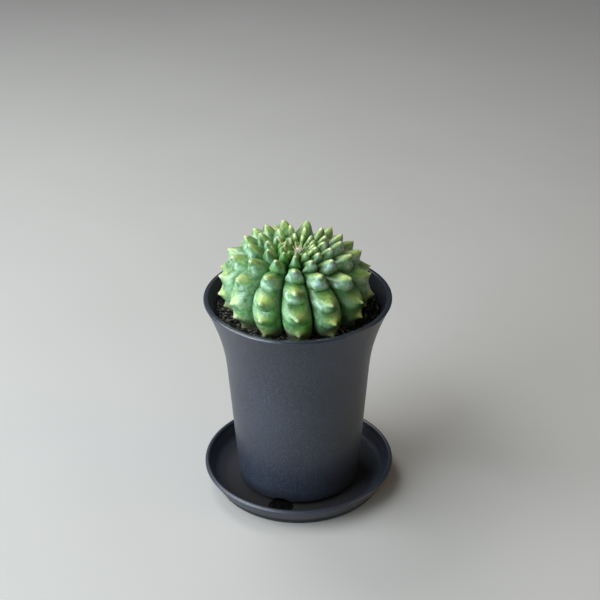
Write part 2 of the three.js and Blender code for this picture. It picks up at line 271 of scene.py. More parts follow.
def dress(piece, node, material):
    """Give a piece its material and the one body there is, and hide the CAD node it stands for, if any."""
    piece.data.materials.append(material)
    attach(piece, "root")
    if node:
        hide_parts(node)


# ---- the cactus body's form ------------------------------------------------------------
def smooth_step(value, low, high):
    """From 0 to 1 as the value goes from low to high, which may be the smaller of the two."""
    share = np.clip((value - low) / (high - low), 0, 1)
    return share * share * (3 - 2 * share)


def bell(value, middle, spread, power=2):
    """1 at the middle, falling off to either side of it."""
    return np.exp(-(((value - middle) / spread) ** power))


def tip_radius(latitude):
    """Radius over the tubercles' tips, with the corners between the given radii smoothed away."""
    offsets = np.linspace(-1, 1, 9) * TIP_BLUR
    weights = 1 - np.abs(offsets / TIP_BLUR) ** 2 * 0.8
    total = sum(weight * np.interp(np.abs(latitude + offset), TIP_LATITUDES, TIP_RADII)
                for weight, offset in zip(weights, offsets))
    return total / weights.sum()


def along_rib(rib, count):
    """Latitude at a count of areoles down the rib of each column."""
    latitude = np.empty_like(count)
    for number, row in enumerate(AREOLE_ROWS):
        chosen = rib == number
        latitude[:, chosen] = np.interp(count[:, chosen], np.arange(len(row)), row)
    return latitude


def areole_count(latitudes):
    """How many areoles lie above each latitude on every rib."""
    return np.stack([np.interp(latitudes, row, np.arange(len(row))) for row in AREOLE_ROWS], axis=1)


def rib_widths(latitudes):
    """Half widths in radians of every rib, before and after its crest, with the furrows pushed to and fro."""
    budding = smooth_step(latitudes, *BUD_FADE) * smooth_step(latitudes, 6, 14)
    fullness = 1 + SWELL * budding[:, None] * np.cos(2 * np.pi * (areole_count(latitudes) - SWELL_PLACE))
    beside = np.roll(fullness, -1, axis=1)
    push = (fullness - beside) / (fullness + beside)
    gap = np.radians((np.roll(RIB_AZIMUTHS, -1) - RIB_AZIMUTHS) % 360) / 2
    return np.roll(gap * (1 - push), 1, axis=1), gap * (1 + push)


def body_form(latitudes, rib, side):
    """Azimuth and radius over the body's centre, with the masks that its skin is coloured by.

    A column keeps to one rib and one side place on it, from -1 in one furrow past 0 on the crest to 1.
    """
    latitude = latitudes[:, None]
    young = smooth_step(latitude, *YOUNG_FADE)
    budding = smooth_step(latitude, *BUD_FADE)
    above = np.clip((BURIED_LATITUDE + 8 - latitude) / 14, 0, 1)
    tip = tip_radius(latitude)
    before, after = rib_widths(latitudes)
    half_turn = np.where(side < 0, before[:, rib], after[:, rib])
    azimuth = np.radians(RIB_AZIMUTHS)[rib] + side * half_turn
    girth = tip * np.sin(np.radians(np.clip(latitude, 4, 176)))
    half = (before + after)[:, rib] / 2 * girth

    # The creases between the tubercles of a rib curve across it like a smile. Each point belongs to the
    # areole between two of them, and depth goes from 0 at that areole to 1 in the crease.
    smile = (0.68 - 0.46 * young) * side**2
    split = 0.56 - 0.14 * young
    step = areole_count(latitudes)[:, rib]
    ahead = step + smile - np.floor(step + smile + split)
    areole = step + smile - ahead
    place = along_rib(rib, areole)
    above_place = along_rib(rib, areole - split)
    below_place = along_rib(rib, areole + 1 - split)
    along = np.radians(latitude - place) * tip
    reach = np.where(along < 0, np.radians(place - above_place), np.radians(below_place - place)) * tip
    depth = np.clip(np.abs(along) / np.maximum(reach, 0.1), 0, 1)
    distance = np.hypot(side * half_turn * girth, along)

    # A tubercle rises from the upper crease on a shelf, and below its areole it rounds off into a chin.
    height = FURROW_DEPTH * (1 - np.exp(-half / 2.6)) * above * (0.2 + 0.8 * smooth_step(latitude, 6, 16))
    crease_depth = np.interp(latitude, CREASE_LATITUDES, CREASE_DEPTHS) * np.clip(half / 2.5, 0, 1)
    crease_share = np.clip(crease_depth / np.maximum(height, 0.3), 0, 0.85)
    chin = (1 - depth**3.2) ** 0.6
    shelf = 1 - depth ** (1.35 + 0.25 * young)
    across_crease = 1 - (1 - young) * smooth_step(np.abs(side), 0, 0.8)
    fallen = crease_share * (1 - np.where(along > 0, chin, shelf)) * across_crease
    pinch = 1 + budding * np.interp(np.sign(along) * depth, PINCH_PLACES, PINCHES)
    ridge = (1 - np.clip(np.abs(side) * pinch, 0, 1) ** (2.3 + 0.5 * young)) ** (0.6 + 0.2 * budding)
    rise = ridge * (1 - fallen)

    # Its areole sits on a point over a broad cone, so that the tips alone reach the full radius.
    growing = np.clip(half / 3.5, 0.12, 1) * above
    point_height = POINT_HEIGHT * (1 - 0.4 * young) * growing
    cone_height = (CONE_HEIGHT * young + 0.6 * bell(latitude, 56, 14)) * growing
    sunk = point_height * (1 - bell(distance, 0, POINT_SPREAD, 1.5))
    sunk = sunk + cone_height * (1 - bell(distance, 0, CONE_SPREAD, 3))
    radius = tip - sunk - height * (1 - rise) - CROWN_HOLLOW * bell(latitude, 0, CROWN_HOLLOW_LATITUDE, 4)

    shown = smooth_step(latitude, 9, 14)
    # Of these masks, the chin, the crease and the crest's falling edge carry painted shade, and the left
    # flanks and the young faces painted sheen.
    masks = {
        "crease": depth**10 * ridge * smooth_step(latitude, 86, 52),
        "tip": bell(distance, 0, 1.35) * shown,
        "crest": rise,
        "shelf": bell(step - areole, -0.16, 0.17) * bell(side, 0, 0.46 - 0.1 * young) * shown,
        "brow": bell(ahead, -0.03, 0.06) * bell(side, 0, 0.7, 4) * young * shown,
        "chin": bell(ahead, 0.12, 0.09) * bell(side, 0, 0.26) * shown,
        "frost_and_sheen": bell(ahead, 0.26, 0.2) * bell(side, 0, 0.7, 4) * young * shown,
        "flank_wax_and_sheen": smooth_step(side, 0.4, -0.7) * (0.24 + 0.76 * bell(ahead, 0.2, 0.26)),
    }
    return azimuth, radius, masks


def body_point(latitude, azimuth, radius):
    """Places over the body's centre, with the ribs turned a little round the upright body."""
    turn = azimuth + RIB_TWIST * (np.radians(latitude) - TWIST_CENTRE)
    out = radius * np.sin(np.radians(latitude))
    return np.stack([out * np.sin(turn), -out * np.cos(turn), radius * np.cos(np.radians(latitude))], axis=-1)


def lean(points):
    """Points of the upright body brought to where the leaning body has them."""
    right = Matrix.Rotation(math.radians(LEAN_RIGHT), 3, "Y")
    front = Matrix.Rotation(math.radians(LEAN_FRONT), 3, "X")
    return np.asarray(points) @ np.array(right @ front).T + np.array(BODY_CENTRE)


def side_places(count):
    """Places across a rib from furrow to furrow, closer together at the furrows."""
    even = np.arange(count) / count * 2 - 1
    return np.sign(even) * (1 - (1 - np.abs(even)) ** 1.35)


def build_cactus():
    """The grown body, from the dimple of its crown to its buried base."""
    latitudes = np.concatenate([np.linspace(TOP_LATITUDE, 50, 120, endpoint=False),
                                np.linspace(50, 120, 110, endpoint=False),
                                np.linspace(120, ROOT_LATITUDE, 14)])
    rib = np.repeat(np.arange(len(RIBS)), COLUMNS_PER_RIB)
    side = np.tile(side_places(COLUMNS_PER_RIB), len(RIBS))
    latitude = np.repeat(latitudes[:, None], len(rib), axis=1)
    azimuth, radius, masks = body_form(latitudes, rib, side[None, :])
    points = body_point(latitude, azimuth, radius).reshape(-1, 3)
    rows, columns = latitude.shape
    ends = points[:columns].mean(0), points[-columns:].mean(0)
    piece = new_mesh("cactus_body", lean(np.vstack([points, *ends])), closed_faces(rows, columns))
    for name, values in masks.items():
        add_attribute(piece, name, np.append(np.broadcast_to(values, latitude.shape), [0, 0]))
    add_attribute(piece, "latitude", np.append(latitude, [0, 180]))
    add_attribute(piece, "turn_x", np.append(np.sin(azimuth), [0, 0]))
    add_attribute(piece, "turn_y", np.append(np.cos(azimuth), [0, 0]))
    return piece


# ---- the crown and the areoles ---------------------------------------------------------
def surface_point(rib, latitude):
    """A place on a rib's crest, and the way out from it."""
    azimuth, radius, _ = body_form(np.array([float(latitude)]), np.array([rib]), np.array([[0.0]]))
    place = lean(body_point(np.array([latitude]), azimuth[0], radius[0])[0])
    return place, Vector(place - lean(np.zeros(3))).normalized()


def crown_frame():
    """The middle of the crown and the way it faces."""
    place, _ = surface_point(0, TOP_LATITUDE)
    foot = lean(np.zeros(3))
    up = Vector(lean(np.array([0.0, 0, 1])) - foot).normalized()
    return Vector(foot) + up * (Vector(place) - Vector(foot)).dot(up), up


def ring_way(out, turn):
    """A way square to another one, turned round it by an angle in radians."""
    side = out.orthogonal().normalized()
    return side * math.cos(turn) + out.cross(side) * math.sin(turn)


def sloped_way(out, aside, slope):
    """A way that slopes from one way towards another, square to it."""
    return out * math.cos(math.radians(slope)) + aside * math.sin(math.radians(slope))


def strand(root, way, length, width, bend=(0, 0, 0), sides=3, steps=4, tip=0.5):
    """Points and faces of one hair or spine, tapered and bent a little on its way."""
    way = Vector(way).normalized()
    across = way.orthogonal().normalized()
    beside = way.cross(across)
    points = []
    for step in range(steps + 1):
        share = step / steps
        middle = Vector(root) + way * (length * share) + Vector(bend) * (share**2)
        radius = width / 2 * (1 - (1 - tip) * share)
        for side in range(sides):
            turn = 2 * math.pi * side / sides
            points.append(middle + (across * math.cos(turn) + beside * math.sin(turn)) * radius)
    faces = [tuple(range(sides))[::-1], tuple(steps * sides + side for side in range(sides))]
    for step in range(steps):
        for side in range(sides):
            a, b = step * sides + side, step * sides + (side + 1) % sides
            faces.append((a, b, b + sides, a + sides))
    return points, faces


def strands(name, rows):
    """One piece of many strands."""
    points, faces = [], []
    for row_points, row_faces in rows:
        start = len(points)
        points += [tuple(point) for point in row_points]
        faces += [tuple(index + start for index in face) for face in row_faces]
    return new_mesh(name, points, faces)


def build_areoles(draw):
    """A small felted pad on every tip, of short hairs lying every way."""
    rows = []
    for rib, (_, latitudes) in enumerate(RIBS):
        for latitude in latitudes:
            if latitude > LAST_FELT_LATITUDE:
                continue
            place, out = surface_point(rib, latitude)
            grown = latitude > SMALL_FELT_LATITUDE
            size = FELT_R if grown else SMALL_FELT_R
            for _ in range(FELT_HAIRS if grown else SMALL_FELT_HAIRS):
                turn, reach = draw.uniform(0, 2 * math.pi), size * math.sqrt(draw.uniform())
                ring = ring_way(out, turn)
                root = Vector(place) + ring * reach * 0.8 - out * 0.12
                way = out * draw.uniform(0.5, 1.1) + ring * 0.5 + Vector(draw.normal(0, 0.3, 3))
                rows.append(strand(root, way, draw.uniform(*FELT_HAIR_LENGTHS), FELT_HAIR_WIDTH, steps=2))
    return strands("areole_felt", rows)


def wool_ball(middle, radius):
    """The felted heart of the wool, a lumpy ball that its hairs stand out of."""
    ball = bmesh.new()
    bmesh.ops.create_icosphere(ball, subdivisions=3, radius=radius)
    points = [vert.co * (1 + 0.5 * noise.noise(vert.co * 3.3)) + middle for vert in ball.verts]
    faces = [tuple(vert.index for vert in face.verts) for face in ball.faces]
    ball.free()
    return points, faces


def build_wool(draw):
    """The pale wool of the growing point, a ball of fine tangled hairs."""
    seat, up = crown_frame()
    rows = [wool_ball(seat + up * WOOL_BALL_HEIGHT, WOOL_BALL_R)]
    for _ in range(WOOL_HAIRS):
        turn, reach = draw.uniform(0, 2 * math.pi), WOOL_R * math.sqrt(draw.uniform())
        ring = ring_way(up, turn)
        height = 0.6 + 2.5 * draw.uniform() * (1 - (reach / 1.7) ** 2)
        root = seat + ring * reach * 0.8 + up * height
        way = up * draw.uniform(-0.1, 0.9) + ring * 0.7 + Vector(draw.normal(0, 0.6, 3))
        curl = Vector(draw.normal(0, 0.3, 3))
        rows.append(strand(root, way, draw.uniform(*WOOL_HAIR_LENGTHS), WOOL_HAIR_WIDTH, curl))
    return strands("crown_wool", rows)


def build_spines(draw):
    """The straw-coloured spines of the crown, and a few dry ones on the buds round it."""
    seat, up = crown_frame()
    rows = []
    for number in range(SPINES):
        ring = ring_way(up, 2 * math.pi * (number + 0.6 * draw.uniform()) / SPINES)
        way = sloped_way(up, ring, draw.uniform(*SPINE_SLOPES))
        root = seat + up * 0.3 + ring * 0.5
        length = draw.uniform(*SPINE_LENGTHS)
        rows.append(strand(root, way, length, SPINE_WIDTH, -ring * 0.6, sides=6, steps=7, tip=0.3))
    for rib, latitude, slope in DRY_SPINES:
        place, out = surface_point(rib, latitude)
        way = sloped_way(out, (up - out * up.dot(out)).normalized(), slope)
        curl = Vector(draw.normal(0, 0.25, 3))
        length = min(draw.uniform(*DRY_SPINE_LENGTHS), (SPINE_TOP_Z - place[2]) / max(way.z, 0.1))
        root = Vector(place) - out * 0.3
        rows.append(strand(root, way, length, DRY_SPINE_WIDTH, curl, sides=6, steps=6, tip=0.25))
    return strands("crown_spines", rows)


# ---- soil ------------------------------------------------------------------------------
def build_soil_bed():
    """The soil's body: the CAD solid's form with a finer, uneven top."""
    bed = bmesh.new()
    bed.from_mesh(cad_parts["soil"].data)
    bmesh.ops.dissolve_limit(bed, angle_limit=0.001, verts=bed.verts, edges=bed.edges)
    bmesh.ops.triangulate(bed, faces=bed.faces)
    level = (SOIL_Z - 1.5) * MM
    top = [edge for edge in bed.edges if all(vert.co.z > level for vert in edge.verts)]
    bmesh.ops.subdivide_edges(bed, edges=top, cuts=3, use_grid_fill=True)
    wall = (pot_outer(SOIL_Z) - POT_WALL - 1.2) * MM
    for vert in bed.verts:
        open_edge = any(abs(edge.calc_face_angle(0)) > 0.9 for edge in vert.link_edges)
        if vert.co.z > level and vert.co.xy.length < wall and not open_edge:
            vert.co.z += BED_RELIEF * MM * noise.noise(vert.co / MM * 0.9)
    mesh = bpy.data.meshes.new("soil_bed")
    bed.to_mesh(mesh)
    bed.free()
    return add_piece("soil_bed", mesh)


def chip_form():
    """A rough grain: the twelve points of an icosahedron and its faces."""
    chip = bmesh.new()
    bmesh.ops.create_icosphere(chip, subdivisions=1, radius=1.0)
    points = np.array([tuple(vert.co) for vert in chip.verts])
    faces = np.array([[vert.index for vert in face.verts] for face in chip.faces])
    chip.free()
    return points, faces


def build_chips(draw, cactus):
    """Loose grains and slivers of charred husk, lying over each other, clear of the plant and the pot."""
    skin = BVHTree.FromPolygons([vert.co / MM for vert in cactus.data.vertices],
                                [tuple(face.vertices) for face in cactus.data.polygons])
    form, form_faces = chip_form()
    points, faces, shades = [], [], []
    inside = pot_outer(SOIL_Z) - POT_WALL
    while len(points) < CHIPS:
        reach = math.sqrt(draw.uniform(CHIPS_INNER_R**2, (inside - 0.5) ** 2))
        turn = draw.uniform(0, 2 * math.pi)
        edge = max(reach - inside + PILE_WIDTH, 0) / PILE_WIDTH
        height = SOIL_Z + draw.uniform(-0.1, 0.95) + PILE_HEIGHT * edge * draw.uniform()
        middle = Vector((reach * math.sin(turn), -reach * math.cos(turn), height))
        near, normal, _, distance = skin.find_nearest(middle)
        length = draw.uniform(*CHIP_LENGTHS)
        if (middle - near).dot(normal) < 0.35 or distance < 0.55 or reach > inside - 0.55 * length:
            continue
        size = np.array([length, draw.uniform(*CHIP_WIDTHS), draw.uniform(*CHIP_THICKNESSES)])
        chip = form * size * draw.uniform(0.78, 1.2, (len(form), 1))
        chip[:, 2] += 0.12 * chip[:, 0] ** 2 * draw.uniform(-1, 1)
        spin = Matrix.Rotation(draw.uniform(0, 2 * math.pi), 3, "Z")
        tilt = Matrix.Rotation(draw.normal(0, 0.38), 3, "Y") @ Matrix.Rotation(draw.normal(0, 0.5), 3, "X")
        if distance < length or reach > inside - 1.1 * length:
            spin = Matrix.Rotation(turn + draw.normal(0, 0.25), 3, "Z")
        faces.append(form_faces + len(points) * len(form))
        points.append(chip @ np.array(spin @ tilt).T + np.array(middle))
        shades.append(np.full(len(form), draw.uniform()))
    piece = new_mesh("soil_chips", np.vstack(points), np.vstack(faces).tolist(), smooth=False)
    add_attribute(piece, "shade", np.concatenate(shades))
    return piece


def build_fines(draw):
    """A thin heap of fine black grains on the saucer, in and before the foremost notch."""
    form, form_faces = chip_form()
    points, faces = [], []
    while len(points) < FINES:
        turn, share = draw.uniform(0, 2 * math.pi), draw.uniform() ** 0.6
        x = FINES_PLACE[0] + FINES_R * share * math.cos(turn)
        y = FINES_PLACE[1] + FINES_R * share * math.sin(turn)
        reach = math.hypot(x, y)
        offside = abs(math.atan2(x, -y) - math.radians(NOTCH_AZIMUTH)) * reach
        if reach < FOOT_RING_R + 0.9 and offside > NOTCH_WIDTH / 2 - 1.4:
            continue
        height = FINES_PLACE[2] + 0.1 + FINES_HEIGHT * (1 - share**2) * draw.uniform()
        size = draw.uniform(*FINES_SIZES) * np.array([1.0, 0.8, 0.6])
        chip = form * size * draw.uniform(0.8, 1.2, (len(form), 1))
        spin = Matrix.Rotation(draw.uniform(0, 2 * math.pi), 3, "Z")
        faces.append(form_faces + len(points) * len(form))
        points.append(chip @ np.array(spin).T + np.array((x, y, height)))
    return new_mesh("black_grains", np.vstack(points), np.vstack(faces).tolist(), smooth=False)


# ---- turned pieces ---------------------------------------------------------------------
def turned(name, profile, columns=192):
    """A closed solid of a profile that starts and ends on the axis."""
    points = np.array(profile[1:-1], dtype=float)
    turn = np.arange(columns) / columns * 2 * math.pi
    ring = np.stack([np.sin(turn), -np.cos(turn)], axis=-1)
    grid = np.empty((len(points), columns, 3))
    grid[..., :2] = points[:, None, :1] * ring[None]
    grid[..., 2] = points[:, None, 1]
    ends = [(0, 0, profile[0][1]), (0, 0, profile[-1][1])]
    faces = [face[::-1] for face in closed_faces(len(points), columns)]
    piece = new_mesh(name, np.vstack([grid.reshape(-1, 3), ends]), faces)
    piece.data.set_sharp_from_angle(angle=math.radians(SHARP_ANGLE))
    return piece


def arc(centre_r, centre_z, radius, start, end, steps):
    """Profile points on a round, from one angle to another."""
    turn = np.radians(np.linspace(start, end, steps + 1))
    return [(centre_r + radius * math.cos(t), centre_z + radius * math.sin(t)) for t in turn]


def soft_corner(start, corner, end, steps):
    """Profile points that leave start for a corner and arrive at end."""
    shares = np.linspace(0, 1, steps + 1)[:, None]
    start, corner, end = (np.array(point) for point in (start, corner, end))
    places = start * (1 - shares) ** 2 + corner * 2 * shares * (1 - shares) + end * shares**2
    return [tuple(place) for place in places]


def straight(start, end, steps):
    """Profile points between two places, without those two."""
    shares = np.linspace(0, 1, steps + 1)[1:-1, None]
    return [tuple(place) for place in np.array(start) * (1 - shares) + np.array(end) * shares]


def build_saucer():
    """The dish: a recess underneath, a flared wall with a round lip, and a flat floor."""
    half = SAUCER_WALL / 2
    inner = SAUCER_RIM_R - SAUCER_WALL
    base = arc(SAUCER_BASE_R - SAUCER_BASE_ROUND, SAUCER_BASE_ROUND, SAUCER_BASE_ROUND, -90, -15, 6)
    lip = arc(SAUCER_RIM_R - half, SAUCER_HEIGHT - half, half, -12, 190, 18)
    floor = soft_corner((inner - 2.6, SAUCER_FLOOR_Z + 3.2), (SAUCER_FLOOR_R + 1.9, SAUCER_FLOOR_Z),
                        (SAUCER_FLOOR_R - 1, SAUCER_FLOOR_Z), 10)
    recess = (0, SAUCER_RECESS)
    recess_edge = (SAUCER_RECESS_R, SAUCER_RECESS)
    profile = [recess, *straight(recess, recess_edge, 8), recess_edge, (SAUCER_RECESS_R + 0.8, 0)]
    profile += base + straight(base[-1], lip[0], 8) + lip + straight(lip[-1], floor[0], 6) + floor
    profile += straight(floor[-1], (0, SAUCER_FLOOR_Z), 10) + [(0, SAUCER_FLOOR_Z)]
    return turned("saucer_dish", profile)


def pot_outer(z):
    """Radius of the pot's outside, which tapers and then curves outward."""
    return POT_FOOT_R + POT_TAPER * (z - POT_FOOT_Z) + max(z - FLARE_START_Z, 0) ** 2 / FLARE_CURVE


def notch_cutter(azimuth):
    """A low arch through the foot ring."""
    half = NOTCH_WIDTH / 2
    arch = [(half * math.cos(t), (NOTCH_HEIGHT - NOTCH_SPRING) * math.sin(t) + NOTCH_SPRING)
            for t in np.linspace(0, math.pi, 21)]
    arch = [(half, -1.0), *arch, (-half, -1.0)]
    turn = Matrix.Rotation(math.radians(azimuth), 3, "Z")
    points = [tuple(turn @ Vector((x, -reach, SAUCER_FLOOR_Z + z)))
              for reach in (FOOT_RING_INNER_R - 3, FOOT_RING_R + 6.4) for x, z in arch]
    count = len(arch)
    faces = [tuple(range(count))[::-1], tuple(range(count, 2 * count))]
    faces += [(i, (i + 1) % count, count + (i + 1) % count, count + i) for i in range(count)]
    cutter = new_mesh("notch", points, faces, smooth=False)
    outward = bmesh.new()
    outward.from_mesh(cutter.data)
    bmesh.ops.recalc_face_normals(outward, faces=outward.faces)
    outward.to_mesh(cutter.data)
    outward.free()
    return cutter


def drain_cutter():
    """A round plug through the pot's floor."""
    low, high = POT_FLOOR_Z - 8, POT_FLOOR_Z + 4
    return turned("drain", [(0, low), (DRAIN_R, low), (DRAIN_R, high), (0, high)], columns=48)


def cut(piece, cutters):
    """The piece with the cutters' shapes taken out of it."""
    for cutter in cutters:
        modifier = piece.modifiers.new("cut", "BOOLEAN")
        modifier.object = cutter
        modifier.solver = "EXACT"
        modifier.operation = "DIFFERENCE"
    graph = bpy.context.evaluated_depsgraph_get()
    mesh = bpy.data.meshes.new_from_object(piece.evaluated_get(graph))
    piece.modifiers.clear()
    piece.data = mesh
    mesh.set_sharp_from_angle(angle=math.radians(SHARP_ANGLE))
    for cutter in cutters:
        bpy.data.objects.remove(cutter)
    return piece


def build_pot():
    """The pot: a foot ring with notches, a rounded heel, the flared wall, its lip, and a drained floor."""
    foot = arc(FOOT_RING_R - FOOT_RING_ROUND, SAUCER_FLOOR_Z + FOOT_RING_ROUND, FOOT_RING_ROUND, -90, -30, 3)
    heel = arc(POT_FOOT_R - POT_HEEL_ROUND, POT_FOOT_Z, POT_HEEL_ROUND, -70, 0, 8)
    outside = [(pot_outer(z), z) for z in np.linspace(POT_FOOT_Z, POT_TOP_Z - 1.2, 56)[1:]]
    lip_z = POT_TOP_Z - POT_LIP_ROUND
    lip = arc(pot_outer(lip_z) - POT_LIP_ROUND, lip_z, POT_LIP_ROUND, 0, 90, 8)
    lip += arc(POT_RIM_R - POT_WALL + 0.35, POT_TOP_Z - POT_INNER_LIP_ROUND, POT_INNER_LIP_ROUND, 90, 170, 6)
    inside = [(pot_outer(z) - POT_WALL, z) for z in np.linspace(POT_TOP_Z - 1.6, POT_FLOOR_Z + 2.5, 44)]
    corner_r = inside[-1][0]
    floor = soft_corner(inside[-1], (corner_r - 0.2, POT_FLOOR_Z), (corner_r - 3, POT_FLOOR_Z), 6)
    underside_z = POT_FLOOR_Z - POT_FLOOR_THICKNESS
    profile = [(0, underside_z), (FOOT_RING_INNER_R, underside_z), (FOOT_RING_INNER_R, SAUCER_FLOOR_Z)]
    profile += foot + heel + outside + lip + inside + floor[1:] + [(0, POT_FLOOR_Z)]
    notches = [notch_cutter(NOTCH_AZIMUTH + 360 / NOTCH_COUNT * number) for number in range(NOTCH_COUNT)]
    return cut(turned("pot_shell", profile), notches + [drain_cutter()])


# ---- materials -------------------------------------------------------------------------
def feed(tree, socket, value):
    """Link a socket to another one, or set it to a value."""
    if isinstance(value, bpy.types.NodeSocket):
        tree.links.new(value, socket)
    else:
        socket.default_value = value


def add_node(tree, kind, settings=None, **sockets):
    """A node with its settings, each socket linked to another or set to a value."""
    node = tree.nodes.new(kind)
    for name, value in (settings or {}).items():
        setattr(node, name, value)
    for name, value in sockets.items():
        feed(tree, node.inputs[name.replace("_", " ")], value)
    return node


def shader(name, **sockets):
    """A material, its node tree and its shader."""
    material = bpy.data.materials.new(name)
    material.use_nodes = True
    principled = material.node_tree.nodes["Principled BSDF"]
    for socket, value in sockets.items():
        principled.inputs[socket.replace("_", " ")].default_value = value
    return material, material.node_tree, principled


def mask(tree, name):
    """A number that the mesh carries for each of its points."""
    return add_node(tree, "ShaderNodeAttribute", {"attribute_name": name}).outputs["Fac"]


def object_place(tree):
    """The place on the object, in metres."""
    return add_node(tree, "ShaderNodeTexCoord").outputs["Object"]


def grain(tree, place, scale, detail=3.0, roughness=0.5):
    """Cloudy noise with so many clouds to the metre."""
    return add_node(tree, "ShaderNodeTexNoise", Vector=place, Scale=scale, Detail=detail,
                    Roughness=roughness).outputs[0]


def ramp(tree, value, low, high, bottom=0.0, top=1.0):
    """A smooth step from bottom to top as the value goes from low to high."""
    return add_node(tree, "ShaderNodeMapRange", {"interpolation_type": "SMOOTHSTEP"}, Value=value,
                    From_Min=low, From_Max=high, To_Min=bottom, To_Max=top).outputs["Result"]


def combine(tree, operation, first, second):
    """Two values joined by a sum, a product or the like."""
    node = tree.nodes.new("ShaderNodeMath")
    node.operation = operation
    feed(tree, node.inputs[0], first)
    feed(tree, node.inputs[1], second)
    return node.outputs[0]


def product(tree, first, *others):
    """All the values multiplied."""
    for other in others:
        first = combine(tree, "MULTIPLY", first, other)
    return first


def blend(tree, share, low, high):
    """From the low colour to the high one."""
    node = tree.nodes.new("ShaderNodeMix")
    node.data_type = "RGBA"
    feed(tree, node.inputs[0], share)
    feed(tree, node.inputs[6], low if isinstance(low, bpy.types.NodeSocket) else (*low, 1))
    feed(tree, node.inputs[7], high if isinstance(high, bpy.types.NodeSocket) else (*high, 1))
    return node.outputs[2]


def times(colour, factor):
    """A colour made darker or brighter."""
    return tuple(part * factor for part in colour)


def bump(tree, height, distance, strength=1.0, normal=None):
    """Relief of a depth in metres, over another one if it is given."""
    node = add_node(tree, "ShaderNodeBump", Height=height, Distance=distance, Strength=strength)
    if normal:
        tree.links.new(normal, node.inputs["Normal"])
    return node.outputs["Normal"]


